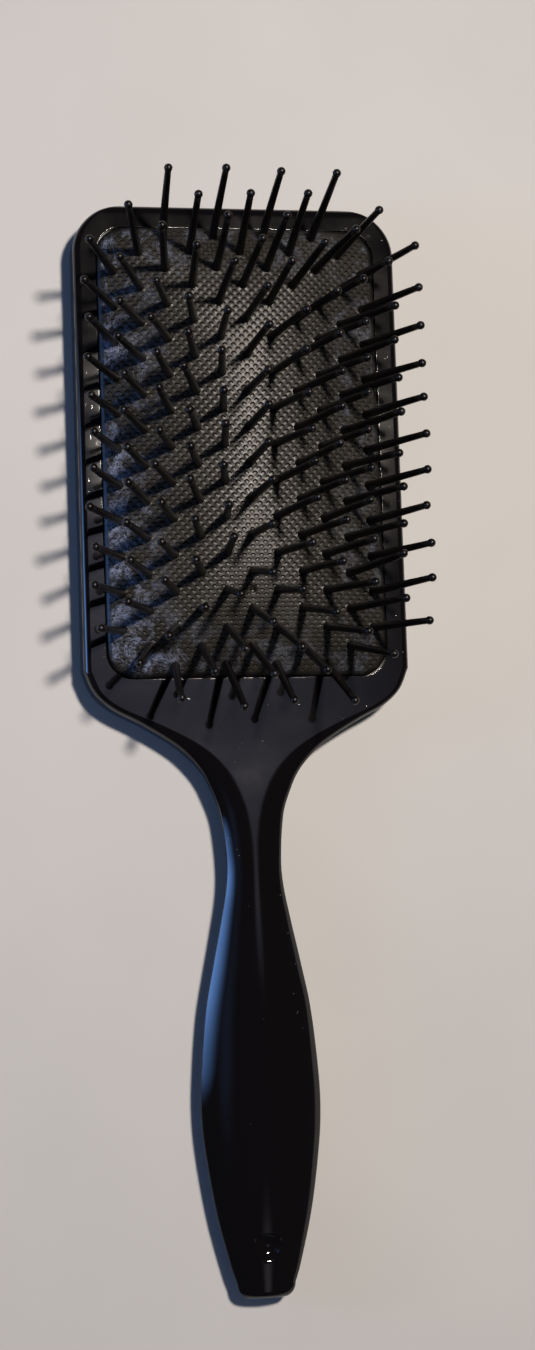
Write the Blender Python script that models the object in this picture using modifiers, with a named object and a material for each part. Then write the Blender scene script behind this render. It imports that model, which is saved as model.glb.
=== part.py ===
"""Paddle hair brush: a one-piece paddle, an air-cushion rubber pad and rows of ball-tipped pins.

The brush lies on its back. The origin is on the flat back under the middle of the pad, +X is to
the right, +Y points from the handle to the head's end, and +Z is the way the pins stand.
"""
import math

import bmesh
import bpy
import numpy as np
from mathutils import Matrix, Vector

MM = 0.001
GAP = 0.3 * MM

# Head
HEAD_HALF_WIDTH = 37.1 * MM
HEAD_TOP = 56.2 * MM
HEAD_CROWN = 0.6 * MM
HEAD_CORNER = 10.5 * MM
RIM = 9.5 * MM
FRONT_EDGE = 1.6 * MM
BACK_EDGE = 2.6 * MM

# Pocket for the pad, with the groove that its flange is pressed into
OPENING_HALF_X = 32.1 * MM
OPENING_HALF_Y = 51.4 * MM
OPENING_CORNER = 6.0 * MM
POCKET_FLOOR = 2.6 * MM
GROOVE_DEPTH = 1.8 * MM
GROOVE_LOW = 6.3 * MM
GROOVE_HIGH = 8.1 * MM

# Half widths from the head down to the handle's end, as (y, half width)
HANDLE_OUTLINE = [(y * MM, w * MM) for y, w in (
    (-49.5, 37.1), (-54.5, 34.8), (-58, 31.0), (-61, 25.4), (-64.3, 19.8), (-67.6, 15.2),
    (-72.3, 11.0), (-77, 8.7), (-82, 7.1), (-92, 6.15), (-98, 6.5), (-106, 8.0), (-114, 9.7),
    (-125, 11.85), (-139, 13.25), (-147, 13.5), (-155, 12.95), (-169.5, 10.7), (-182, 7.6),
    (-185.2, 6.5))]
HANDLE_END = -188.3 * MM
END_HALF_FLAT = 3.6 * MM

# Heights along the handle: back, widest line and front, as (y, back, widest, front)
HANDLE_HEIGHTS = [tuple(v * MM for v in row) for row in (
    (-52, 0, 7.0, 9.5), (-66, 0.1, 7.0, 9.6), (-80, 0.5, 7.4, 10.1), (-94, 0.5, 8.0, 10.6),
    (-120, 0.2, 7.2, 11.8), (-146, 0, 6.5, 12.2), (-170, 0.4, 6.5, 10.8), (-188.3, 1.2, 6.4, 8.6))]
ROUNDING_START = -54 * MM
ROUNDING_END = -92 * MM
EDGE_TURN = math.radians(45)

# Hanging mark near the handle's end: a shallow round dish
DISH_Y = -177.4 * MM
DISH_RADIUS = 3.0 * MM
DISH_DEPTH = 1.1 * MM

# Pad: a thin rubber dome
DOME_HALF_X = 32.5 * MM
DOME_HALF_Y = 53.2 * MM
DOME_CROWN = 9.4 * MM
DOME_POWER_X = 1.58
DOME_POWER_Y = 3.9
DOME_BLEND = 2.7
PAD_EDGE = 0.1 * MM
PAD_THICKNESS = 1.3 * MM
FLANGE_WIDTH = 1.3 * MM
VENT_ROW = -4
VENT_RADIUS = 0.65 * MM

# Pins, in a staggered field of 11 columns and 25 rows
COLUMN_PITCH = 5.7 * MM
ROW_PITCH = 8.12 * MM
LAST_COLUMN = 5
HALF_ROWS = 12
PIN_LENGTH = 22.9 * MM
PIN_ROOT_RADIUS = 0.9 * MM
PIN_NECK_RADIUS = 0.7 * MM
PIN_BALL_RADIUS = 0.95 * MM
PIN_HOLE_RADIUS = 1.35 * MM
RAIL_RADIUS = 0.6 * MM
RAIL_DEPTH = PAD_THICKNESS + GAP + RAIL_RADIUS
PIN_SIDES = 5


def start_scene():
    for old in list(bpy.data.objects):
        bpy.data.objects.remove(old, do_unlink=True)
    parts = bpy.data.collections.new("paddle_hair_brush")
    cutters = bpy.data.collections.new("cutters")
    for collection in (parts, cutters):
        bpy.context.scene.collection.children.link(collection)
    return parts, cutters


def plain_material(name, colour, roughness):
    material = bpy.data.materials.new(name)
    material.use_nodes = True
    shader = material.node_tree.nodes["Principled BSDF"]
    shader.inputs["Base Color"].default_value = (*colour, 1)
    shader.inputs["Roughness"].default_value = roughness
    shader.inputs["Metallic"].default_value = 0
    return material


def add_object(name, mesh, collection, material=None):
    thing = bpy.data.objects.new(name, mesh)
    collection.objects.link(thing)
    if material:
        mesh.materials.append(material)
        mesh.shade_smooth()
        mesh.set_sharp_from_angle(angle=math.radians(35))
    return thing


def as_cutter(thing):
    thing.hide_render = True
    thing.display_type = "WIRE"
    return thing


def cut(target, cutter, operation="DIFFERENCE"):
    modifier = target.modifiers.new(cutter.name, "BOOLEAN")
    modifier.operation = operation
    modifier.solver = "EXACT"
    modifier.object = cutter


def evaluated_mesh(thing):
    graph = bpy.context.evaluated_depsgraph_get()
    return bpy.data.meshes.new_from_object(thing.evaluated_get(graph))


def smooth_through(points, at):
    """A smooth curve through (x, value) points, read at one x."""
    points = sorted(points)
    xs = [p[0] for p in points]
    at = min(max(at, xs[0]), xs[-1])
    index = min(max(int(np.searchsorted(xs, at)) - 1, 0), len(xs) - 2)

    def slope(i):
        low, high = max(i - 1, 0), min(i + 1, len(points) - 1)
        return (points[high][1] - points[low][1]) / (points[high][0] - points[low][0])

    step = xs[index + 1] - xs[index]
    t = (at - xs[index]) / step
    start, end = points[index][1], points[index + 1][1]
    bend = (t**3 - 2 * t**2 + t) * slope(index) + (t**3 - t**2) * slope(index + 1)
    return (2 * t**3 - 3 * t**2 + 1) * start + (3 * t**2 - 2 * t**3) * end + bend * step


def ease(low, high, at):
    t = min(max((at - low) / (high - low), 0), 1)
    return t * t * (3 - 2 * t)


def arc_inset(radius, beyond):
    """How far a round edge of this radius has come in, at a distance beyond its start."""
    beyond = min(max(beyond, 0), radius)
    return radius - math.sqrt(radius**2 - beyond**2)


def loft(rings, name):
    """A closed mesh through rings of equal length, with a flat cap on each end."""
    work = bmesh.new()
    rows = [[work.verts.new(point) for point in ring] for ring in rings]
    for lower, upper in zip(rows, rows[1:]):
        for i in range(len(lower)):
            j = (i + 1) % len(lower)
            work.faces.new((lower[i], lower[j], upper[j], upper[i]))
    work.faces.new(reversed(rows[0]))
    work.faces.new(rows[-1])
    bmesh.ops.recalc_face_normals(work, faces=work.faces)
    mesh = bpy.data.meshes.new(name)
    work.to_mesh(mesh)
    work.free()
    return mesh


# Paddle

def half_width(y):
    if y >= HANDLE_OUTLINE[0][0]:
        return HEAD_HALF_WIDTH - arc_inset(HEAD_CORNER, y - (HEAD_TOP - HEAD_CORNER))
    if y >= HANDLE_OUTLINE[-1][0]:
        return smooth_through(HANDLE_OUTLINE, y)
    corner = HANDLE_OUTLINE[-1][0] - HANDLE_END
    return HANDLE_OUTLINE[-1][1] - arc_inset(corner, HANDLE_OUTLINE[-1][0] - y) * (
        HANDLE_OUTLINE[-1][1] - END_HALF_FLAT) / corner


def heights(y):
    """Back, widest line and front of the paddle at a station."""
    back, widest, front = (smooth_through([(row[0], row[k]) for row in HANDLE_HEIGHTS], y) for k in (1, 2, 3))
    if y > HEAD_TOP - BACK_EDGE:
        back += arc_inset(BACK_EDGE, y - (HEAD_TOP - BACK_EDGE))
    if y > HEAD_TOP - FRONT_EDGE:
        front -= arc_inset(FRONT_EDGE, y - (HEAD_TOP - FRONT_EDGE))
    beyond_end = HANDLE_END + FRONT_EDGE - y
    if beyond_end > 0:
        front -= arc_inset(FRONT_EDGE, beyond_end)
        back += arc_inset(FRONT_EDGE, beyond_end)
    return back, widest, front


def paddle_section(y, corner_points=5):
    """One closed section: a box with round edges in the head, a deep lens in the handle.

    The handle's front is a shallow arc, which meets the round back along an edge.
    """
    width = half_width(y)
    back, widest, front = heights(y)
    handle = ease(ROUNDING_START, ROUNDING_END, y) if y < ROUNDING_START else 0
    top_x = FRONT_EDGE + (width - FRONT_EDGE) * handle
    low_x = BACK_EDGE + (width - BACK_EDGE) * handle
    top_z = min(FRONT_EDGE + (front - widest - FRONT_EDGE) * handle, front - widest)
    low_z = min(BACK_EDGE + (widest - back - BACK_EDGE) * handle, widest - back)
    ring = []
    for side, rise in ((1, 1), (-1, 1), (-1, -1), (1, -1)):
        reach_x, reach_z, level = (top_x, top_z, front) if rise > 0 else (low_x, low_z, back)
        start = EDGE_TURN * handle if rise > 0 else 0
        for k in range(corner_points):
            share = k / (corner_points - 1)
            turn = start + (math.pi / 2 - start) * (share if side == rise else 1 - share)
            x = side * (width - reach_x + reach_x * math.cos(turn) / math.cos(start))
            z = level - rise * reach_z * (1 - math.sin(turn)) / (1 - math.sin(start))
            lift = HEAD_CROWN * (1 - (x / HEAD_HALF_WIDTH)**2) * ease(OPENING_HALF_Y, HEAD_TOP, y)
            ring.append((x, y + lift, z))
    return ring


def paddle_stations():
    """Where sections are taken: close together on round stretches, far apart on straight ones."""
    corner = [HEAD_TOP - HEAD_CORNER * (1 - math.sin(math.pi / 2 * k / 6)) for k in range(7)]
    edge = [HEAD_TOP - FRONT_EDGE * (1 - math.sin(math.pi / 2 * k / 3)) for k in range(3)]
    shoulder = np.linspace(-49.5 * MM, -82 * MM, 16)
    handle = np.linspace(-88 * MM, -182 * MM, 15)
    tail = [HANDLE_OUTLINE[-1][0]]
    corner_length = HANDLE_OUTLINE[-1][0] - HANDLE_END
    tail += [HANDLE_OUTLINE[-1][0] - corner_length * math.sin(math.pi / 2 * k / 4) for k in range(1, 5)]
    every = sorted([*corner, *edge, *shoulder, *handle, *tail], reverse=True)
    kept = every[:1]
    for y in every[1:]:
        if kept[-1] - y > 0.12 * MM:
            kept.append(y)
    return kept


def rounded_box(name, half_x, half_y, low, high, radius, segments=6):
    work = bmesh.new()
    bmesh.ops.create_cube(work, size=1)
    bmesh.ops.scale(work, vec=(2 * half_x, 2 * half_y, high - low), verts=work.verts)
    bmesh.ops.translate(work, vec=(0, 0, (low + high) / 2), verts=work.verts)
    upright = [e for e in work.edges if abs(e.verts[0].co.z - e.verts[1].co.z) > GAP]
    bmesh.ops.bevel(work, geom=upright, offset=radius, segments=segments, profile=0.5, affect="EDGES")
    mesh = bpy.data.meshes.new(name)
    work.to_mesh(mesh)
    work.free()
    return mesh


def dish_cutter():
    ball = (DISH_RADIUS**2 + DISH_DEPTH**2) / (2 * DISH_DEPTH)
    front = heights(DISH_Y)[2]
    work = bmesh.new()
    bmesh.ops.create_uvsphere(work, u_segments=32, v_segments=32, radius=ball)
    bmesh.ops.translate(work, vec=(0, DISH_Y, front + ball - DISH_DEPTH), verts=work.verts)
    mesh = bpy.data.meshes.new("dish")
    work.to_mesh(mesh)
    work.free()
    return mesh


def make_paddle(parts, cutters, material):
    mesh = loft([paddle_section(y) for y in paddle_stations()], "paddle_body")
    paddle = add_object("paddle_body", mesh, parts, material)
    over = RIM + 5 * MM
    pocket = rounded_box("pocket", OPENING_HALF_X, OPENING_HALF_Y, POCKET_FLOOR, over, OPENING_CORNER)
    groove = rounded_box("groove", OPENING_HALF_X + GROOVE_DEPTH, OPENING_HALF_Y + GROOVE_DEPTH,
                         GROOVE_LOW, GROOVE_HIGH, OPENING_CORNER + GROOVE_DEPTH)
    for cutter_mesh in (pocket, groove, dish_cutter()):
        cut(paddle, as_cutter(add_object(cutter_mesh.name, cutter_mesh, cutters)))
    return paddle


# Pad

def dome_height(x, y):
    """Height of the pad's outer surface."""
    along_x = (abs(x) / DOME_HALF_X)**(DOME_POWER_X * DOME_BLEND)
    along_y = (abs(y) / DOME_HALF_Y)**(DOME_POWER_Y * DOME_BLEND)
    fall = (along_x + along_y)**(1 / DOME_BLEND)
    return RIM + PAD_EDGE + DOME_CROWN * max(1 - fall, 0)


def dome_normal(x, y):
    step = 0.05 * MM
    slope_x = (dome_height(x + step, y) - dome_height(x - step, y)) / (2 * step)
    slope_y = (dome_height(x, y + step) - dome_height(x, y - step)) / (2 * step)
    return Vector((-slope_x, -slope_y, 1)).normalized()


def pad_outline(grow=0.0, per_x=4, per_y=6, per_corner=3):
    """Points round the pad's rounded rectangle, grown outward by a distance."""
    half_x, half_y = OPENING_HALF_X - GAP, OPENING_HALF_Y - GAP
    inner_x, inner_y = half_x - OPENING_CORNER, half_y - OPENING_CORNER
    radius = OPENING_CORNER + grow
    points = []
    for quarter, (sx, sy) in enumerate(((1, 1), (-1, 1), (-1, -1), (1, -1))):
        for k in range(per_corner + 1):
            turn = math.pi / 2 * (quarter + k / per_corner)
            points.append((sx * inner_x + radius * math.cos(turn), sy * inner_y + radius * math.sin(turn)))
        start, count = points[-1], (per_x if quarter % 2 == 0 else per_y)
        end = (-start[0], start[1]) if quarter % 2 == 0 else (start[0], -start[1])
        for k in range(1, count):
            points.append((start[0] + (end[0] - start[0]) * k / count, start[1] + (end[1] - start[1]) * k / count))
    return points


def pad_mesh():
    """A domed shell that turns down at its edge into a flange."""
    edge = pad_outline()
    flange = pad_outline(FLANGE_WIDTH + GAP)
    inside = pad_outline(-PAD_THICKNESS)
    scales = (0.08, 0.3, 0.5, 0.68, 0.82, 0.92, 1.0)

    def dome_ring(outline, scale, drop):
        return [(x * scale, y * scale, dome_height(x * scale, y * scale) - drop) for x, y in outline]

    def level_ring(outline, z):
        return [(x, y, z) for x, y in outline]

    rings = [dome_ring(edge, scale, 0) for scale in scales]
    rings += [level_ring(edge, GROOVE_HIGH - GAP), level_ring(flange, GROOVE_HIGH - GAP)]
    rings += [level_ring(flange, GROOVE_LOW + GAP), level_ring(inside, GROOVE_LOW + GAP)]
    rings += [dome_ring(inside, scale, PAD_THICKNESS) for scale in reversed(scales)]
    return loft(rings, "cushion_pad")


def pin_places(row):
    """Foot points of the pins of one half-pitch row, on the pad's outer surface."""
    y = row * ROW_PITCH / 2
    odd_columns = row % 2 == 0
    last = LAST_COLUMN if abs(row) < HALF_ROWS else LAST_COLUMN - 2
    columns = [i for i in range(-last, last + 1) if (i % 2 == 1) == odd_columns]
    return [Vector((i * COLUMN_PITCH, y, dome_height(i * COLUMN_PITCH, y))) for i in columns]


def upright_frame(point, direction):
    """A placement that puts local Z along a direction at a point."""
    turn = Vector((0, 0, 1)).rotation_difference(direction)
    return Matrix.Translation(point) @ turn.to_matrix().to_4x4()


def hole_cutter():
    """All pin holes and the vent, as one cutter."""
    work = bmesh.new()
    places = [(place, PIN_HOLE_RADIUS) for row in range(-HALF_ROWS, HALF_ROWS + 1) for place in pin_places(row)]
    vent_y = VENT_ROW * ROW_PITCH
    places.append((Vector((0, vent_y, dome_height(0, vent_y))), VENT_RADIUS))
    for place, radius in places:
        frame = upright_frame(place, dome_normal(place.x, place.y))
        bmesh.ops.create_cone(work, cap_ends=True, segments=PIN_SIDES, radius1=radius, radius2=radius,
                              depth=4 * PAD_THICKNESS, matrix=frame)
    mesh = bpy.data.meshes.new("pin_holes")
    work.to_mesh(mesh)
    work.free()
    return mesh


def make_pad(parts, cutters, material):
    pad = add_object("cushion_pad", pad_mesh(), parts, material)
    cut(pad, as_cutter(add_object("pin_holes", hole_cutter(), cutters)))
    return pad


# Pins

def turned_mesh(name, profile, steps):
    """A turned solid from a (radius, height) profile that runs from its top down."""
    mesh = bpy.data.meshes.new(name)
    mesh.from_pydata([(r, 0, z) for r, z in profile], [(i, i + 1) for i in range(len(profile) - 1)], [])
    thing = bpy.data.objects.new(name, mesh)
    bpy.context.scene.collection.objects.link(thing)
    screw = thing.modifiers.new("turn", "SCREW")
    screw.steps = steps
    screw.render_steps = steps
    screw.use_merge_vertices = True
    screw.merge_threshold = 0.00001
    turned = evaluated_mesh(thing)
    bpy.data.objects.remove(thing, do_unlink=True)
    return turned


def pin_profile():
    """The pin from the top of its ball to its hidden foot, with z = 0 at the pad's surface."""
    ball = PIN_LENGTH - PIN_BALL_RADIUS
    return [(0, PIN_LENGTH), (PIN_BALL_RADIUS * 0.7, ball + PIN_BALL_RADIUS * 0.7), (PIN_BALL_RADIUS, ball),
            (PIN_NECK_RADIUS, ball - PIN_BALL_RADIUS * 0.8), (PIN_ROOT_RADIUS, 0),
            (PIN_ROOT_RADIUS, -RAIL_DEPTH), (0, -RAIL_DEPTH)]


def rail_mesh(places):
    """The row's foot rail: a thin rod that follows the dome just under the pad."""
    under = [p - dome_normal(p.x, p.y) * RAIL_DEPTH for p in places]
    overhang = RAIL_RADIUS * 2
    under[0] += (under[0] - under[1]).normalized() * overhang
    under[-1] += (under[-1] - under[-2]).normalized() * overhang
    curve = bpy.data.curves.new("rail", "CURVE")
    curve.dimensions = "3D"
    curve.bevel_depth = RAIL_RADIUS
    curve.bevel_resolution = 0
    curve.use_fill_caps = True
    spline = curve.splines.new("POLY")
    spline.points.add(len(under) - 1)
    for point, place in zip(spline.points, under):
        point.co = (*place, 1)
    thing = bpy.data.objects.new("rail", curve)
    bpy.context.scene.collection.objects.link(thing)
    mesh = evaluated_mesh(thing)
    bpy.data.objects.remove(thing, do_unlink=True)
    work = bmesh.new()
    work.from_mesh(mesh)
    bmesh.ops.remove_doubles(work, verts=work.verts, dist=0.00001)
    bmesh.ops.recalc_face_normals(work, faces=work.faces)
    work.to_mesh(mesh)
    work.free()
    return mesh


def pins_mesh(name, pin, places):
    """Every pin of a row, each square to the pad at its own foot."""
    work = bmesh.new()
    for place in places:
        copy = pin.copy()
        copy.transform(upright_frame(place, dome_normal(place.x, place.y)))
        work.from_mesh(copy)
        bpy.data.meshes.remove(copy)
    mesh = bpy.data.meshes.new(name)
    work.to_mesh(mesh)
    work.free()
    return mesh


def make_pin_row(number, row, pin, parts, cutters, material):
    """One row: its pins joined to their rail, with the origin on the rail's tilt axis."""
    name = f"pin_row_{number:02d}"
    places = pin_places(row)
    axis = tilt_axis_point(row)
    pins = pins_mesh(name, pin, places)
    rail = rail_mesh(places)
    for mesh in (pins, rail):
        mesh.transform(Matrix.Translation(-axis))
    thing = add_object(name, pins, parts, material)
    foot = as_cutter(add_object(f"rail_{number:02d}", rail, cutters))
    for piece in (thing, foot):
        piece.location = axis
    cut(thing, foot, "UNION")
    return thing


def tilt_axis_point(row):
    """The middle of a row's tilt axis, at the mean height of its pins' feet."""
    places = pin_places(row)
    return Vector((0, places[0].y, sum(place.z for place in places) / len(places)))


def main():
    parts, cutters = start_scene()
    plastic = plain_material("gloss_black_plastic", (0.012, 0.012, 0.014), 0.28)
    rubber = plain_material("black_rubber", (0.035, 0.033, 0.031), 0.75)
    nylon = plain_material("black_nylon", (0.016, 0.014, 0.014), 0.35)
    make_paddle(parts, cutters, plastic)
    make_pad(parts, cutters, rubber)
    pin = turned_mesh("pin", pin_profile(), PIN_SIDES)
    for number, row in enumerate(range(HALF_ROWS, -HALF_ROWS - 1, -1), start=1):
        make_pin_row(number, row, pin, parts, cutters, nylon)


main()
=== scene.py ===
"""The visual model of a paddle hair brush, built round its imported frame."""
import math

import bmesh
import bpy
import mathutils.geometry
import numpy as np
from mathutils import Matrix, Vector


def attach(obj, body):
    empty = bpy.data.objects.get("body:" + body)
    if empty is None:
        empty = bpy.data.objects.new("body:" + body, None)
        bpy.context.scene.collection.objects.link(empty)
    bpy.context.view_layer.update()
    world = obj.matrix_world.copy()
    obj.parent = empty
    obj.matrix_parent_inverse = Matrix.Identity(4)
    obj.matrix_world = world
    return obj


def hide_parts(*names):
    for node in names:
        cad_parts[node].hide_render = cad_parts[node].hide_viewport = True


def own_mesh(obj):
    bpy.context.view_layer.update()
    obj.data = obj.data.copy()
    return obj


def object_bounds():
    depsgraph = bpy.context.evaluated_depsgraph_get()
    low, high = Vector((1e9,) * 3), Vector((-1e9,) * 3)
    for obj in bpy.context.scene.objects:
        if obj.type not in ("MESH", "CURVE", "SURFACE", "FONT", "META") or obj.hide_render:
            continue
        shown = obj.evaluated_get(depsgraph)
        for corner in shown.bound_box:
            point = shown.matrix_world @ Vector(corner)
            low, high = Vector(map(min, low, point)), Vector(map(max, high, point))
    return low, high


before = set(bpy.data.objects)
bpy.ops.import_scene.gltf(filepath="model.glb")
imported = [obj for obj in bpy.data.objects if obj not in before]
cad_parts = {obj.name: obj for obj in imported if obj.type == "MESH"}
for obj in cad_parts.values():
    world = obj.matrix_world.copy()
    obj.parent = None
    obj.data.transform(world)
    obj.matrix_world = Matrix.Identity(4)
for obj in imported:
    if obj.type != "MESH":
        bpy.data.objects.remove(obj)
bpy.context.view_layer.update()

MM = 0.001
SEED = 11

# Paddle
HEAD_HALF_WIDTH = 37.1 * MM
HEAD_TOP = 56.2 * MM
HEAD_CROWN = 0.6 * MM
HEAD_CORNER = 10.5 * MM
FRONT_EDGE = 1.6 * MM
BACK_EDGE = 2.6 * MM
HANDLE_OUTLINE = [(y * MM, w * MM) for y, w in (
    (-49.5, 37.1), (-54.5, 34.8), (-58, 31.0), (-61, 25.4), (-64.3, 19.8), (-67.6, 15.2),
    (-72.3, 11.0), (-77, 8.7), (-82, 7.1), (-92, 6.15), (-98, 6.5), (-106, 8.0), (-114, 9.7),
    (-125, 11.85), (-139, 13.25), (-147, 13.5), (-155, 12.95), (-169.5, 10.7), (-182, 7.6),
    (-185.2, 6.5))]
HANDLE_END = -188.3 * MM
END_HALF_FLAT = 3.6 * MM
HANDLE_HEIGHTS = [tuple(v * MM for v in row) for row in (
    (-52, 0, 7.0, 9.5), (-66, 0.1, 7.0, 9.6), (-80, 0.5, 7.4, 10.1), (-94, 0.5, 8.0, 10.6),
    (-120, 0.2, 7.2, 11.8), (-146, 0, 6.5, 12.2), (-170, 0.4, 6.5, 10.8), (-188.3, 1.2, 6.4, 8.6))]
ROUNDING_START = -54 * MM
ROUNDING_END = -92 * MM
EDGE_TURN = math.radians(45)
EDGE_SOFTNESS = 0.02
DISH_Y = -177.4 * MM
DISH_RADIUS = 3.0 * MM
DISH_BOWL_RADIUS = 2.5 * MM
DISH_BOWL_CURVE = 3.9 * MM
DISH_SIDES = 64
PADDLE_WELD = 0.001 * MM
PADDLE_SMOOTH_ANGLE = 52

# Pocket and pad
RIM = 9.5 * MM
OPENING_HALF_X = 32.1 * MM
OPENING_HALF_Y = 51.4 * MM
OPENING_CORNER = 6.0 * MM
OPENING_EDGE = 0.10 * MM
POCKET_FLOOR = 2.6 * MM
GROOVE_DEPTH = 1.8 * MM
GROOVE_LOW = 6.3 * MM
GROOVE_HIGH = 8.1 * MM
SEAM = 0.22 * MM
DOME_HALF_X = 32.5 * MM
DOME_HALF_Y = 53.2 * MM
DOME_CROWN = 9.4 * MM
DOME_POWER_X = 1.58
DOME_POWER_Y = 3.9
DOME_BLEND = 2.7
PAD_EDGE = 0.1 * MM
PAD_THICKNESS = 1.3 * MM
PAD_PLAIN_EDGE = 0.6 * MM
PAD_EDGE_STEP = 0.5 * MM
PAD_EDGE_DROP = 0.30 * MM
WEAVE_START = 0.6 * MM
WEAVE_FULL = 1.3 * MM
PIN_COLLAR = 0.16 * MM
PIN_COLLAR_RADIUS = 1.25 * MM
THREAD_PITCH = 1.37 * MM
THREAD_HEIGHT = 0.12 * MM
THREAD_POWER = 2.0
VENT_ROW = -4
VENT_RADIUS = 0.62 * MM
VENT_DEPTH = 1.1 * MM
SOFT_SMOOTH_ANGLE = 50

# Pins
COLUMN_PITCH = 5.7 * MM
ROW_PITCH = 8.12 * MM
LAST_COLUMN = 5
HALF_ROWS = 12
PIN_LENGTH = 22.9 * MM
PIN_ROOT_RADIUS = 0.94 * MM
PIN_NECK_RADIUS = 0.73 * MM
PIN_BALL_RADIUS = 0.96 * MM
PIN_FOOT_RADIUS = 1.5 * MM
PIN_FOOT_DEPTH = 2.6 * MM
PIN_SIDES = 16
PIN_LEAN = 0.022
PIN_BEND = 0.25 * MM

# Floor, lights and camera
FLOOR_HALF_SIZE = 3.0
LIGHT_TARGET = (0, -0.06, 0.01)
FADES = {"outward": ((0.5, 0.5), (0.5, 0.5)), "upward": ((0.5, 0.0), (0.5, 1.0))}
LIGHTS = [
    # name, place, watts, width, height, colour, fade
    ("lamp", (0.188, 0.20, 1.00), 12.5, 0.10, 0.10, (1.0, 0.90, 0.80), None),
    ("window", (-0.80, 0.0, 0.33), 12.0, 0.50, 0.60, (0.19, 0.42, 1.0), "upward"),
    ("window_top", (-0.60, -0.10, 0.62), 0.25, 0.60, 0.50, (0.25, 0.45, 1.0), "outward"),
    ("ceiling", (0.106, 0.10, 1.00), 0.41, 0.60, 0.30, (0.72, 0.74, 1.0), "outward"),
    ("room", (0.15, -0.60, 0.90), 0.35, 0.50, 0.50, (0.95, 0.90, 1.0), "outward")]
WORLD_COLOUR = (0.85, 0.90, 1.0, 1)
WORLD_STRENGTH = 0.05
CAMERA_PLACE = (-0.1114, -0.1074, 0.5784)
CAMERA_TURN = (5.949, -11.287, -1.966)
CAMERA_LENS = 69.3


# Shared helpers

def add_mesh(name, points, faces, material, smooth_angle=None):
    mesh = bpy.data.meshes.new(name)
    mesh.from_pydata([tuple(p) for p in points], [], [tuple(f) for f in faces])
    mesh.validate()
    thing = bpy.data.objects.new(name, mesh)
    bpy.context.scene.collection.objects.link(thing)
    mesh.materials.append(material)
    mesh.shade_smooth()
    if smooth_angle:
        mesh.set_sharp_from_angle(angle=math.radians(smooth_angle))
    return thing


def ring_faces(rings, around, flip=False):
    """Quads between equal rings of points numbered one ring after another."""
    faces = []
    for ring in range(rings - 1):
        for i in range(around):
            j = (i + 1) % around
            quad = (ring * around + i, ring * around + j, (ring + 1) * around + j, (ring + 1) * around + i)
            faces.append(quad[::-1] if flip else quad)
    return faces


def ease(low, high, at):
    t = min(max((at - low) / (high - low), 0), 1)
    return t * t * (3 - 2 * t)


def arc_inset(radius, beyond):
    """How far a round edge of this radius has come in, at a distance beyond its start."""
    beyond = min(max(beyond, 0), radius)
    return radius - math.sqrt(radius**2 - beyond**2)


def smooth_through(points, at):
    """A smooth curve through (x, value) points, read at one x."""
    points = sorted(points)
    xs = [p[0] for p in points]
    at = min(max(at, xs[0]), xs[-1])
    index = min(max(int(np.searchsorted(xs, at)) - 1, 0), len(xs) - 2)

    def slope(i):
        low, high = max(i - 1, 0), min(i + 1, len(points) - 1)
        return (points[high][1] - points[low][1]) / (points[high][0] - points[low][0])

    step = xs[index + 1] - xs[index]
    t = (at - xs[index]) / step
    start, end = points[index][1], points[index + 1][1]
    bend = (t**3 - 2 * t**2 + t) * slope(index) + (t**3 - t**2) * slope(index + 1)
    return (2 * t**3 - 3 * t**2 + 1) * start + (3 * t**2 - 2 * t**3) * end + bend * step


# Material nodes

class Graph:
    """A material's node tree, with one short call for each node."""

    def __init__(self, name):
        self.material = bpy.data.materials.new(name)
        self.material.use_nodes = True
        self.tree = self.material.node_tree
        self.shader = self.tree.nodes["Principled BSDF"]
        self.place = self.tree.nodes.new("ShaderNodeTexCoord").outputs["Object"]

    def put(self, socket, value):
        if isinstance(value, bpy.types.NodeSocket):
            self.tree.links.new(value, socket)
        elif isinstance(value, tuple) and len(value) == 3 and socket.type == "RGBA":
            socket.default_value = (*value, 1)
        else:
            socket.default_value = value

    def node(self, kind, inputs=None, **settings):
        made = self.tree.nodes.new("ShaderNode" + kind)
        for key, value in settings.items():
            setattr(made, key, value)
        for key, value in (inputs or {}).items():
            self.put(made.inputs[key], value)
        return made

    def math(self, operation, first, second=0.0, third=0.0, clamp=False):
        made = self.node("Math", {0: first, 1: second, 2: third}, operation=operation, use_clamp=clamp)
        return made.outputs[0]

    def noise(self, scale, detail=3.0, roughness=0.55, stretch=None, distortion=0.0):
        place = self.stretched(stretch) if stretch else self.place
        made = self.node("TexNoise", {"Vector": place, "Scale": scale, "Detail": detail,
                                      "Roughness": roughness, "Distortion": distortion})
        return made.outputs["Fac"]

    def stretched(self, scale):
        return self.node("Mapping", {"Vector": self.place, "Scale": scale}).outputs[0]

    def ramp(self, value, low, high, start=0.0, end=1.0):
        made = self.node("MapRange", {"Value": value, "From Min": low, "From Max": high,
                                      "To Min": start, "To Max": end}, clamp=True)
        return made.outputs["Result"]

    def mix(self, share, first, second):
        made = self.node("Mix", data_type="RGBA")
        for socket, value in ((made.inputs[0], share), (made.inputs[6], first), (made.inputs[7], second)):
            self.put(socket, value)
        return made.outputs[2]

    def bump(self, height, distance, strength=1.0, under=None):
        inputs = {"Height": height, "Distance": distance, "Strength": strength}
        if under:
            inputs["Normal"] = under
        return self.node("Bump", inputs).outputs[0]

    def finish(self, **inputs):
        for key, value in inputs.items():
            self.put(self.shader.inputs[key.replace("_", " ")], value)
        return self.material


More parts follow.
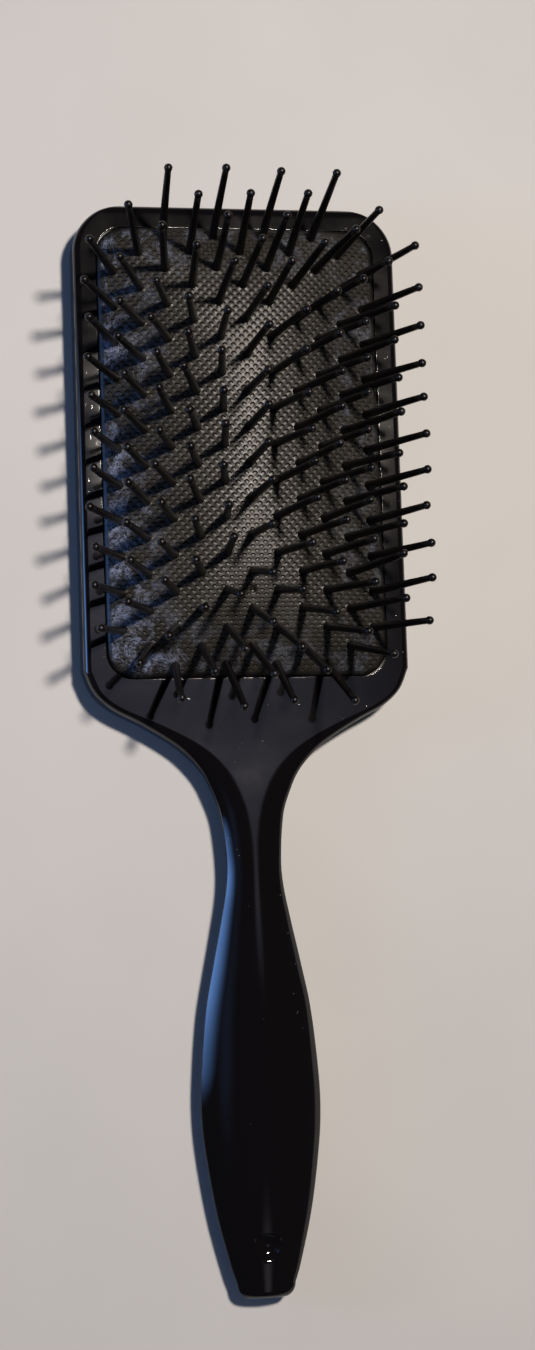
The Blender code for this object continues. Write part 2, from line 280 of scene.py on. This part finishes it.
def plastic_material():
    """Gloss black moulded plastic with handling scratches, faint moulding ripple and dust."""
    g = Graph("gloss_black_plastic")
    ripple = g.noise(60, 2.0)
    scratch_one = g.noise(260, 4.0, 0.7, stretch=(14, 0.7, 1))
    scratch_two = g.noise(300, 4.0, 0.7, stretch=(0.6, 11, 1))
    scratches = g.math("MAXIMUM", g.ramp(scratch_one, 0.68, 0.76), g.ramp(scratch_two, 0.70, 0.78))
    specks = g.node("TexVoronoi", {"Vector": g.place, "Scale": 420.0}, feature="F1").outputs["Distance"]
    grain = g.noise(35, 2.0)
    dust = g.math("MULTIPLY", g.ramp(specks, 0.06, 0.035), g.ramp(grain, 0.50, 0.60))
    colour = g.mix(g.math("MULTIPLY", dust, 0.5), (0.0024, 0.0017, 0.0022), (0.30, 0.28, 0.26))
    rough = g.math("ADD", g.ramp(g.noise(90, 3.0), 0.3, 0.7, 0.04, 0.07), g.math("MULTIPLY", scratches, 0.06))
    normal = g.bump(scratches, 0.00001, 0.4, under=g.bump(ripple, 0.00003, 0.25))
    return g.finish(Base_Color=colour, Roughness=rough, Normal=normal, Specular_IOR_Level=0.5)


def rubber_material():
    """Black rubber with a moulded weave. Dust in broad patches, lighter towards each bead's middle, painted
    shade in a dark arc along the upper side of each bead, and lint near the edges, most of it on the left,
    whose blue tint is painted window light.
    """
    g = Graph("woven_rubber")
    split = g.node("SeparateXYZ", {0: g.place})
    cell = []
    for operation, first, second in (("ADD", 0, 1), ("SUBTRACT", 1, 0)):
        across = g.math(operation, split.outputs[first], split.outputs[second])
        turns = g.math("MULTIPLY_ADD", across, 1 / THREAD_PITCH / math.sqrt(2), 0.5)
        cell.append(g.math("SUBTRACT", g.math("FRACT", turns), 0.5))
    far = g.math("SQRT", g.math("ADD", g.math("POWER", cell[0], 2.0), g.math("POWER", cell[1], 2.0)))
    # Painted shade: a dark arc in the groove on the upper (+y) side of each bead only. The same mask also
    # sinks the bump there, raises the roughness and cuts the specular.
    groove = g.ramp(g.math("ABSOLUTE", g.math("SUBTRACT", far, 0.40)), 0.13, 0.04)
    groove = g.math("MULTIPLY", groove, g.ramp(g.math("ADD", *cell), 0.08, 0.38))
    field = g.node("Attribute", attribute_name="woven").outputs["Fac"]
    groove = g.math("MULTIPLY", groove, field)
    bead = g.math("MULTIPLY", g.ramp(far, 0.48, 0.0), field)
    fine = g.noise(2600, 3.0, 0.6)
    broad = g.noise(70, 4.0, 0.6)
    # Dust in broad patches and fine specks, lighter towards each bead's middle and darker where the weave
    # fades near the edge. The painted groove shade is taken out of it.
    dust_and_shade = g.math("MULTIPLY", g.ramp(broad, 0.3, 0.62, 0.45, 1.0), g.ramp(bead, 0.0, 1.0, 0.65, 1.0))
    dust_and_shade = g.math("MULTIPLY", dust_and_shade, g.ramp(fine, 0.35, 0.65, 0.5, 1.3))
    dust_and_shade = g.math("MULTIPLY", dust_and_shade, g.ramp(groove, 0.0, 0.9, 1.0, 0.0))
    dust_and_shade = g.math("MULTIPLY", dust_and_shade, g.ramp(field, 0.0, 1.0, 0.35, 1.0))
    warm = g.mix(dust_and_shade, (0.0020, 0.0020, 0.0024), (0.029, 0.0255, 0.020))
    edge_x = g.math("ABSOLUTE", split.outputs[0])
    near_side = g.ramp(edge_x, 0.016, 0.029)
    near_left = g.ramp(split.outputs[0], -0.006, -0.026, 0.35, 1.0)
    near_end = g.ramp(g.math("ABSOLUTE", split.outputs[1]), 0.034, 0.048)
    lint_place = g.math("MULTIPLY", g.math("MAXIMUM", near_side, near_end), near_left)
    clumps = g.ramp(g.noise(150, 5.0, 0.7, distortion=1.0), 0.48, 0.62)
    fibre = []
    for scale, stretch in ((260, (1, 1, 1)), (330, (0.5, 1.3, 1)), (420, (1.3, 0.6, 1))):
        wave = g.noise(scale, 2.0, 0.5, stretch=stretch, distortion=2.5)
        fibre.append(g.ramp(g.math("ABSOLUTE", g.math("SUBTRACT", wave, 0.5)), 0.040, 0.012))
    fibres = g.math("MAXIMUM", g.math("MAXIMUM", fibre[0], fibre[1]), fibre[2])
    fibres = g.ramp(fibres, 0.0, 1.0, 0.1, 1.0)
    lint = g.math("MULTIPLY", g.math("MULTIPLY", lint_place, clumps), g.math("MULTIPLY", fibres, field))
    # Lint colour: the lint itself is real, but its blue tint is painted window light.
    colour = g.mix(g.math("MULTIPLY", lint, 0.9), warm, (0.20, 0.23, 0.33))
    relief = g.math("SUBTRACT", g.math("MULTIPLY", bead, 0.35), groove)
    relief = g.math("ADD", relief, g.math("MULTIPLY", lint, 0.5))
    normal = g.bump(g.math("ADD", relief, g.math("MULTIPLY", fine, 0.25)), 0.00010, 0.8)
    rough = g.math("ADD", g.ramp(broad, 0.3, 0.7, 0.37, 0.45), g.math("MULTIPLY", groove, 0.4))
    rough = g.math("ADD", rough, g.math("MULTIPLY", lint, 0.3), clamp=True)
    shine = g.ramp(groove, 0.0, 1.0, 0.4, 0.04)
    return g.finish(Base_Color=colour, Roughness=rough, Normal=normal, Specular_IOR_Level=shine)


def nylon_material():
    """Satin black nylon, faintly brown in random patches, with fluff near its tip and foot."""
    g = Graph("black_nylon")
    cloud = g.noise(240, 3.0)
    along = g.node("Attribute", attribute_name="along_pin").outputs["Fac"]
    end = g.math("MAXIMUM", g.ramp(along, 0.93, 0.98), g.ramp(along, 0.12, 0.0))
    fluff = g.math("MULTIPLY", g.ramp(g.noise(1300, 5.0, 0.7), 0.55, 0.70), g.ramp(end, 0.0, 1.0, 0.05, 0.45))
    colour = g.mix(g.ramp(cloud, 0.35, 0.65), (0.0010, 0.0007, 0.0009), (0.0026, 0.0013, 0.0013))
    colour = g.mix(fluff, colour, (0.075, 0.075, 0.085))
    rough = g.math("ADD", g.ramp(g.noise(900, 2.0), 0.3, 0.7, 0.30, 0.38), g.math("MULTIPLY", fluff, 0.4))
    normal = g.bump(g.noise(1500, 2.0), 0.00002, 0.15)
    return g.finish(Base_Color=colour, Roughness=rough, Normal=normal, Specular_IOR_Level=0.3)


# Paddle

def half_width(y):
    if y >= HANDLE_OUTLINE[0][0]:
        return HEAD_HALF_WIDTH - arc_inset(HEAD_CORNER, y - (HEAD_TOP - HEAD_CORNER))
    if y >= HANDLE_OUTLINE[-1][0]:
        return smooth_through(HANDLE_OUTLINE, y)
    corner = HANDLE_OUTLINE[-1][0] - HANDLE_END
    return HANDLE_OUTLINE[-1][1] - arc_inset(corner, HANDLE_OUTLINE[-1][0] - y) * (
        HANDLE_OUTLINE[-1][1] - END_HALF_FLAT) / corner


def heights(y):
    """Back, widest line and front of the paddle at a station."""
    back, widest, front = (smooth_through([(row[0], row[k]) for row in HANDLE_HEIGHTS], y) for k in (1, 2, 3))
    if y > HEAD_TOP - BACK_EDGE:
        back += arc_inset(BACK_EDGE, y - (HEAD_TOP - BACK_EDGE))
    if y > HEAD_TOP - FRONT_EDGE:
        front -= arc_inset(FRONT_EDGE, y - (HEAD_TOP - FRONT_EDGE))
    beyond_end = HANDLE_END + FRONT_EDGE - y
    if beyond_end > 0:
        front -= arc_inset(FRONT_EDGE, beyond_end)
        back += arc_inset(FRONT_EDGE, beyond_end)
    return back, widest, front


def paddle_section(y, corner_points=14):
    """One closed section: a box with round edges in the head, a deep lens in the handle.

    The handle's front is a shallow arc, which meets the round back along an edge. A narrow
    strip of faces on each side of the edge makes it look slightly rounded.
    """
    width = half_width(y)
    back, widest, front = heights(y)
    handle = 1 - ease(ROUNDING_END, ROUNDING_START, y)
    top_x = FRONT_EDGE + (width - FRONT_EDGE) * handle
    low_x = BACK_EDGE + (width - BACK_EDGE) * handle
    top_z = min(FRONT_EDGE + (front - widest - FRONT_EDGE) * handle, front - widest)
    low_z = min(BACK_EDGE + (widest - back - BACK_EDGE) * handle, widest - back)
    shares = sorted([EDGE_SOFTNESS, *(k / (corner_points - 1) for k in range(corner_points))])
    ring = []
    for side, rise in ((1, 1), (-1, 1), (-1, -1), (1, -1)):
        reach_x, reach_z, level = (top_x, top_z, front) if rise > 0 else (low_x, low_z, back)
        start = EDGE_TURN * handle if rise > 0 else 0
        for share in shares if side == rise else reversed(shares):
            turn = start + (math.pi / 2 - start) * share
            x = side * (width - reach_x + reach_x * math.cos(turn) / math.cos(start))
            z = level - rise * reach_z * (1 - math.sin(turn)) / (1 - math.sin(start))
            lift = HEAD_CROWN * (1 - (x / HEAD_HALF_WIDTH)**2) * ease(OPENING_HALF_Y, HEAD_TOP, y)
            ring.append((x, y + lift, z))
    return ring


def paddle_stations():
    corner = [HEAD_TOP - HEAD_CORNER * (1 - math.sin(math.pi / 2 * k / 24)) for k in range(25)]
    shoulder = np.linspace(-49.5 * MM, -92 * MM, 56)
    handle = np.linspace(-93.5 * MM, -184 * MM, 60)
    corner_length = HANDLE_OUTLINE[-1][0] - HANDLE_END
    tail = [HANDLE_OUTLINE[-1][0] - corner_length * math.sin(math.pi / 2 * k / 12) for k in range(13)]
    every = sorted([*corner, *shoulder, *handle, *tail], reverse=True)
    kept = every[:1]
    for y in every[1:]:
        if kept[-1] - y > 0.05 * MM:
            kept.append(y)
    return kept


def rounded_rectangle(grow, per_corner=14):
    """Points round the pocket's opening, grown outward by a distance."""
    inner_x, inner_y = OPENING_HALF_X - OPENING_CORNER, OPENING_HALF_Y - OPENING_CORNER
    radius = OPENING_CORNER + grow
    points = []
    for quarter, (sx, sy) in enumerate(((1, 1), (-1, 1), (-1, -1), (1, -1))):
        for k in range(per_corner + 1):
            turn = math.pi / 2 * (quarter + k / per_corner)
            points.append((sx * inner_x + radius * math.cos(turn), sy * inner_y + radius * math.sin(turn)))
    return points


def pocket_cutter(material):
    """The pocket as one solid: floor, wall, undercut groove and a softly rounded mouth."""
    levels = [(POCKET_FLOOR, 0), (GROOVE_LOW, 0), (GROOVE_LOW, GROOVE_DEPTH), (GROOVE_HIGH, GROOVE_DEPTH),
              (GROOVE_HIGH, 0), (RIM - OPENING_EDGE, 0)]
    steps = 5
    for k in range(1, steps + 1):
        turn = math.pi / 2 * k / steps
        levels.append((RIM - OPENING_EDGE * (1 - math.sin(turn)), OPENING_EDGE * (1 - math.cos(turn))))
    levels.append((RIM + OPENING_EDGE, OPENING_EDGE))
    points, around = [], 0
    for z, grow in levels:
        outline = rounded_rectangle(grow)
        around = len(outline)
        points += [(x, y, z) for x, y in outline]
    faces = ring_faces(len(levels), around)
    faces.append(tuple(reversed(range(around))))
    faces.append(tuple(range((len(levels) - 1) * around, len(levels) * around)))
    return add_mesh("pocket_cutter", points, faces, material)


def dish_cutter(material):
    """A shallow round bowl with a softened edge."""
    front = heights(DISH_Y)[2]
    edge = DISH_RADIUS - DISH_BOWL_RADIUS
    start = math.asin(DISH_BOWL_RADIUS / DISH_BOWL_CURVE)
    profile = [(DISH_RADIUS + edge, front + 0.6 * MM), (DISH_RADIUS + edge, front + edge / 2)]
    for k in range(1, 6):
        turn = (math.pi / 2 - 0.3) * k / 5
        profile.append((DISH_RADIUS + edge * (1 - math.sin(turn)), front - edge * (1 - math.cos(turn))))
    top = profile[-1][1] - 0.1 * MM
    for k in range(12):
        turn = start * (1 - k / 12)
        sunk = DISH_BOWL_CURVE * (math.cos(turn) - math.cos(start))
        profile.append((DISH_BOWL_CURVE * math.sin(turn), top - sunk))
    around = DISH_SIDES
    points = []
    for radius, z in profile:
        for i in range(around):
            turn = 2 * math.pi * i / around
            points.append((radius * math.cos(turn), DISH_Y + radius * math.sin(turn), z))
    faces = ring_faces(len(profile), around, flip=True)
    faces.append(tuple(range(around)))
    faces.append(tuple(reversed(range((len(profile) - 1) * around, len(profile) * around))))
    return add_mesh("dish_cutter", points, faces, material)


def apply_modifiers(target):
    graph = bpy.context.evaluated_depsgraph_get()
    mesh = bpy.data.meshes.new_from_object(target.evaluated_get(graph))
    target.modifiers.clear()
    target.data = mesh


def cut_away(target, cutter):
    modifier = target.modifiers.new("cut", "BOOLEAN")
    modifier.operation = "DIFFERENCE"
    modifier.solver = "EXACT"
    modifier.object = cutter
    apply_modifiers(target)
    bpy.data.objects.remove(cutter, do_unlink=True)


def make_paddle(material):
    stations = paddle_stations()
    sections = [paddle_section(y) for y in stations]
    around = len(sections[0])
    points = [point for ring in sections for point in ring]
    faces = ring_faces(len(sections), around)
    faces.append(tuple(reversed(range(around))))
    faces.append(tuple(range((len(sections) - 1) * around, len(sections) * around)))
    paddle = add_mesh("paddle", points, faces, material)
    work = bmesh.new()
    work.from_mesh(paddle.data)
    bmesh.ops.remove_doubles(work, verts=work.verts, dist=PADDLE_WELD)
    bmesh.ops.recalc_face_normals(work, faces=work.faces)
    work.to_mesh(paddle.data)
    work.free()
    cut_away(paddle, pocket_cutter(material))
    cut_away(paddle, dish_cutter(material))
    paddle.data.shade_smooth()
    paddle.data.set_sharp_from_angle(angle=math.radians(PADDLE_SMOOTH_ANGLE))
    weigh = paddle.modifiers.new("flat_faces_stay_flat", "WEIGHTED_NORMAL")
    weigh.weight = 100
    weigh.keep_sharp = True
    apply_modifiers(paddle)
    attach(paddle, "paddle")
    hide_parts("paddle_body")


# Pad

def dome_height(x, y):
    """Height of the pad's dome without its weave, for numbers or arrays. Corners dip below the rim."""
    along_x = (np.abs(x) / DOME_HALF_X)**(DOME_POWER_X * DOME_BLEND)
    along_y = (np.abs(y) / DOME_HALF_Y)**(DOME_POWER_Y * DOME_BLEND)
    fall = (along_x + along_y)**(1 / DOME_BLEND)
    return RIM + PAD_EDGE + DOME_CROWN * (1 - fall)


def dome_normal(x, y):
    step = 0.05 * MM
    slope_x = (dome_height(x + step, y) - dome_height(x - step, y)) / (2 * step)
    slope_y = (dome_height(x, y + step) - dome_height(x, y - step)) / (2 * step)
    return Vector((-slope_x, -slope_y, 1)).normalized()


def weave_height(x, y):
    """Moulded weave: rounded diamonds between two sets of diagonal grooves."""
    turn = math.pi / THREAD_PITCH / math.sqrt(2)
    one = 1 - np.abs(np.sin((x + y) * turn))**THREAD_POWER
    two = 1 - np.abs(np.sin((y - x) * turn))**THREAD_POWER
    return THREAD_HEIGHT * one * two


def pin_places(row):
    """Foot points of one row's pins on the pad's surface."""
    y = row * ROW_PITCH / 2
    odd_columns = row % 2 == 0
    last = LAST_COLUMN if abs(row) < HALF_ROWS else LAST_COLUMN - 2
    columns = [i for i in range(-last, last + 1) if (i % 2 == 1) == odd_columns]
    return [Vector((i * COLUMN_PITCH, y, float(dome_height(i * COLUMN_PITCH, y)))) for i in columns]


def edge_room(x, y):
    """Distance inward from the pad's rounded edge, for arrays."""
    half_x, half_y = OPENING_HALF_X - SEAM, OPENING_HALF_Y - SEAM
    out_x, out_y = np.abs(x) - (half_x - OPENING_CORNER), np.abs(y) - (half_y - OPENING_CORNER)
    corner = OPENING_CORNER - np.hypot(np.maximum(out_x, 0), np.maximum(out_y, 0))
    return np.where((out_x > 0) & (out_y > 0), corner, np.minimum(half_x - np.abs(x), half_y - np.abs(y)))


def pad_outline(grow):
    """Points round the pad's edge, evenly spaced, grown outward by a distance."""
    inner_x, inner_y = OPENING_HALF_X - SEAM - OPENING_CORNER, OPENING_HALF_Y - SEAM - OPENING_CORNER
    radius = OPENING_CORNER + grow
    points = []
    for quarter, (sx, sy) in enumerate(((1, 1), (-1, 1), (-1, -1), (1, -1))):
        for k in range(21):
            turn = math.pi / 2 * (quarter + k / 20)
            points.append((sx * inner_x + radius * math.cos(turn), sy * inner_y + radius * math.sin(turn)))
        start, run = points[-1], 2 * (inner_x, inner_y)[quarter % 2]
        steps = int(run / PAD_EDGE_STEP)
        along = math.pi / 2 * quarter
        for k in range(1, steps):
            far = run * k / steps
            points.append((start[0] - far * math.cos(along), start[1] - far * math.sin(along)))
    return np.array(points)


def woven_field():
    """Diamond cells of the weave inside the pad's edge: points, quads and the boundary loop."""
    step = THREAD_PITCH / 4
    reach = int((OPENING_HALF_X + OPENING_HALF_Y) / (step * math.sqrt(2))) + 2
    i, j = np.meshgrid(np.arange(-reach, reach + 1), np.arange(-reach, reach + 1))
    x, y = (i - j) * step / math.sqrt(2), (i + j) * step / math.sqrt(2)
    inside = edge_room(x, y) > PAD_PLAIN_EDGE
    keep = inside[:-1, :-1] & inside[:-1, 1:] & inside[1:, 1:] & inside[1:, :-1]
    index = np.arange(x.size).reshape(x.shape)
    quads = np.stack([index[:-1, :-1], index[:-1, 1:], index[1:, 1:], index[1:, :-1]], axis=-1)[keep]
    used = np.unique(quads)
    renumber = np.full(x.size, -1)
    renumber[used] = np.arange(len(used))
    quads = renumber[quads]
    points = np.stack([x.ravel()[used], y.ravel()[used]], axis=1)
    edges = set(zip(quads.ravel().tolist(), np.roll(quads, -1, axis=1).ravel().tolist()))
    following = {a: b for a, b in edges if (b, a) not in edges}
    loop = [min(following)]
    while following[loop[-1]] != loop[0]:
        loop.append(following[loop[-1]])
    return points, quads, loop


def plain_edge_faces(field, loop, outline):
    """Triangles between the woven field's zigzag boundary and the pad's edge."""
    ring = [Vector(field[i]) for i in loop] + [Vector(p) for p in outline]
    inner, whole = len(loop), len(ring)
    edges = [(i, (i + 1) % inner) for i in range(inner)]
    edges += [(i, inner + (i + 1 - inner) % (whole - inner)) for i in range(inner, whole)]
    found = mathutils.geometry.delaunay_2d_cdt(ring, edges, [], 0, 1e-9)
    where = {new: old[0] for new, old in enumerate(found[3])}
    hole = [Vector(field[i]) for i in loop]
    triangles = []
    for face in found[2]:
        corners = [where[k] for k in face]
        middle = sum((ring[k] for k in corners), Vector((0, 0))) / 3
        if max(corners) < inner and inside_polygon(middle, hole):
            continue
        triangles.append(corners)
    return triangles


def inside_polygon(point, polygon):
    """Whether a point is inside a closed polygon, by counting crossings to its right."""
    crossings = 0
    for start, end in zip(polygon, polygon[1:] + polygon[:1]):
        if (start.y > point.y) != (end.y > point.y):
            at = start.x + (point.y - start.y) / (end.y - start.y) * (end.x - start.x)
            crossings += at > point.x
    return crossings % 2 == 1


def pad_surface(x, y):
    """Height of the pad's finished top: dome, weave, collars round the pins and the vent."""
    room = edge_room(x, y)
    z = dome_height(x, y) + weave_height(x, y) * woven_share(room)
    for row in range(-HALF_ROWS, HALF_ROWS + 1):
        for place in pin_places(row):
            far = np.hypot(x - place.x, y - place.y)
            z += PIN_COLLAR * np.exp(-(far / PIN_COLLAR_RADIUS)**4)
    vent = np.hypot(x, y - VENT_ROW * ROW_PITCH)
    return z - VENT_DEPTH * np.clip((VENT_RADIUS * 1.25 - vent) / (VENT_RADIUS * 0.5), 0, 1)


def woven_share(room):
    """How far the weave has risen at a distance inward from the pad's edge: 0 to 1."""
    return np.clip((room - WEAVE_START) / (WEAVE_FULL - WEAVE_START), 0, 1)


def mark_woven(mesh):
    places = np.empty(len(mesh.vertices) * 3)
    mesh.vertices.foreach_get("co", places)
    room = edge_room(places[0::3], places[1::3])
    mesh.attributes.new("woven", "FLOAT", "POINT").data.foreach_set("value", woven_share(room))


def make_pad(material):
    field, quads, loop = woven_field()
    outline = pad_outline(0)
    around, first = len(outline), len(field)
    points = [np.column_stack([field, pad_surface(field[:, 0], field[:, 1])])]
    points.append(np.column_stack([outline, dome_height(outline[:, 0], outline[:, 1]) - PAD_EDGE_DROP]))
    steps = [(0, GROOVE_HIGH - SEAM), (GROOVE_DEPTH, GROOVE_HIGH - SEAM), (GROOVE_DEPTH, GROOVE_LOW + SEAM),
             (-PAD_THICKNESS, GROOVE_LOW + SEAM)]
    for grow, level in steps:
        points.append(np.column_stack([pad_outline(grow), np.full(around, level)]))
    inner = pad_outline(-PAD_THICKNESS)
    for scale in (1.0, 0.85, 0.65, 0.45, 0.25, 0.08):
        ring = inner * scale
        points.append(np.column_stack([ring, dome_height(ring[:, 0], ring[:, 1]) - PAD_THICKNESS]))
    faces = [tuple(quad) for quad in quads.tolist()]
    for triangle in plain_edge_faces(field, loop, outline):
        faces.append(tuple(loop[k] if k < len(loop) else first + k - len(loop) for k in triangle))
    ring_count = len(points) - 1
    faces += [tuple(first + i for i in quad) for quad in ring_faces(ring_count, around, flip=True)]
    faces.append(tuple(range(first + (ring_count - 1) * around, first + ring_count * around)))
    pad = add_mesh("woven_pad", np.vstack(points), faces, material, smooth_angle=SOFT_SMOOTH_ANGLE)
    mark_woven(pad.data)
    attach(pad, "paddle")
    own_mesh(pad)
    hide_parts("cushion_pad")


# Pins

def pin_profile():
    """Rings of a pin as (height over the pad, radius), from its foot to the top of its ball."""
    foot = -PIN_FOOT_DEPTH
    profile = [(foot, PIN_FOOT_RADIUS), (foot + 0.5 * MM, PIN_FOOT_RADIUS),
               (foot + 0.6 * MM, PIN_ROOT_RADIUS), (-0.1 * MM, PIN_ROOT_RADIUS * 1.12),
               (0.5 * MM, PIN_ROOT_RADIUS * 1.1), (1.3 * MM, PIN_ROOT_RADIUS)]
    ball = PIN_LENGTH - PIN_BALL_RADIUS
    neck_turn = math.acos(PIN_NECK_RADIUS / PIN_BALL_RADIUS)
    neck = ball - PIN_BALL_RADIUS * math.sin(neck_turn)
    for k in range(1, 9):
        share = k / 9
        profile.append((1.3 * MM + (neck - 1.3 * MM) * share,
                        PIN_ROOT_RADIUS + (PIN_NECK_RADIUS - PIN_ROOT_RADIUS) * share))
    for k in range(9):
        turn = -neck_turn + (math.pi / 2 - 0.12 + neck_turn) * k / 8
        profile.append((ball + PIN_BALL_RADIUS * math.sin(turn), PIN_BALL_RADIUS * math.cos(turn)))
    return profile


def pin_points(place, chance):
    """One pin's rings: square to the pad, with a little lean and bend of its own."""
    direction = dome_normal(place.x, place.y)
    lean = Vector((*chance.normal(0, PIN_LEAN, 2), 0))
    direction = (direction + lean).normalized()
    side = direction.cross(Vector((0, 1, 0))).normalized()
    rise = side.cross(direction)
    bend = Vector((*chance.normal(0, PIN_BEND, 2), 0))
    points = []
    for height, radius in pin_profile():
        share = max(height, 0) / PIN_LENGTH
        middle = place + direction * height + bend * share**2
        for i in range(PIN_SIDES):
            turn = 2 * math.pi * i / PIN_SIDES
            points.append(middle + (side * math.cos(turn) + rise * math.sin(turn)) * radius)
    return points


def make_pin_row(number, row, chance, material):
    rings = len(pin_profile())
    points, faces = [], []
    for place in pin_places(row):
        first = len(points)
        points += pin_points(place, chance)
        quads = ring_faces(rings, PIN_SIDES, flip=True)
        faces += [tuple(first + i for i in quad) for quad in quads]
        faces.append(tuple(first + i for i in range(PIN_SIDES)))
        faces.append(tuple(first + (rings - 1) * PIN_SIDES + i for i in reversed(range(PIN_SIDES))))
    pins = add_mesh(f"pins_{number:02d}", points, faces, material, smooth_angle=SOFT_SMOOTH_ANGLE)
    shares = [min(max(height / PIN_LENGTH, 0), 1) for height, _ in pin_profile() for side in range(PIN_SIDES)]
    along = pins.data.attributes.new("along_pin", "FLOAT", "POINT")
    along.data.foreach_set("value", shares * len(pin_places(row)))
    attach(pins, f"row_{number:02d}")
    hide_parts(f"pin_row_{number:02d}")


# Floor, lights and camera

def make_floor():
    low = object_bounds()[0][2]
    g = Graph("pale_floor")
    tone = g.ramp(g.noise(14, 3.0), 0.3, 0.7, 0.0, 1.0)
    colour = g.mix(tone, (0.45, 0.45, 0.45), (0.48, 0.48, 0.48))
    material = g.finish(Base_Color=colour, Roughness=0.6)
    size = FLOOR_HALF_SIZE
    points = [(-size, -size, low), (size, -size, low), (size, size, low), (-size, size, low)]
    floor = add_mesh("floor", points, [(0, 1, 2, 3)], material)


def add_light(name, place, energy, width, height, colour, fade):
    """An area light. It can fade out from its middle, or from its bottom edge upward."""
    data = bpy.data.lights.new(name, "AREA")
    data.energy = energy
    data.color = colour
    data.shape = "RECTANGLE" if fade else "ELLIPSE"
    data.size = width
    data.size_y = height
    if fade:
        fade_light(data, *FADES[fade])
    lamp = bpy.data.objects.new(name, data)
    lamp.location = place
    lamp.rotation_euler = (Vector(LIGHT_TARGET) - Vector(place)).to_track_quat("-Z", "Y").to_euler()
    bpy.context.scene.collection.objects.link(lamp)


def fade_light(data, centre, reach):
    """Full strength at one spot on the light's face, and nothing at a distance from it."""
    data.use_nodes = True
    tree = data.node_tree
    spot = tree.nodes.new("ShaderNodeNewGeometry").outputs["Parametric"]
    squeezed = tree.nodes.new("ShaderNodeVectorMath")
    squeezed.operation = "MULTIPLY_ADD"
    squeezed.inputs[1].default_value = (1 / reach[0], 1 / reach[1], 0)
    squeezed.inputs[2].default_value = (-centre[0] / reach[0], -centre[1] / reach[1], 0)
    far = tree.nodes.new("ShaderNodeVectorMath")
    far.operation = "LENGTH"
    strength = tree.nodes.new("ShaderNodeMapRange")
    strength.interpolation_type = "SMOOTHSTEP"
    strength.inputs["From Min"].default_value = 1.0
    strength.inputs["From Max"].default_value = 0.0
    tree.links.new(spot, squeezed.inputs[0])
    tree.links.new(squeezed.outputs[0], far.inputs[0])
    tree.links.new(far.outputs["Value"], strength.inputs["Value"])
    tree.links.new(strength.outputs["Result"], tree.nodes["Emission"].inputs["Strength"])


def make_lights():
    for row in LIGHTS:
        add_light(*row)
    world = bpy.data.worlds.new("room")
    world.use_nodes = True
    world.node_tree.nodes["Background"].inputs["Color"].default_value = WORLD_COLOUR
    world.node_tree.nodes["Background"].inputs["Strength"].default_value = WORLD_STRENGTH
    bpy.context.scene.world = world
    bpy.context.scene.view_settings.view_transform = "Standard"


def make_camera():
    data = bpy.data.cameras.new("camera")
    data.sensor_width = 36
    data.lens = CAMERA_LENS
    data.clip_start = 0.01
    camera = bpy.data.objects.new("camera", data)
    camera.location = CAMERA_PLACE
    camera.rotation_euler = tuple(math.radians(a) for a in CAMERA_TURN)
    bpy.context.scene.collection.objects.link(camera)
    bpy.context.scene.camera = camera


make_camera()
make_lights()
make_floor()
make_paddle(plastic_material())
make_pad(rubber_material())
nylon = nylon_material()
chance = np.random.default_rng(SEED)
for number, row in enumerate(range(HALF_ROWS, -HALF_ROWS - 1, -1), start=1):
    make_pin_row(number, row, chance, nylon)
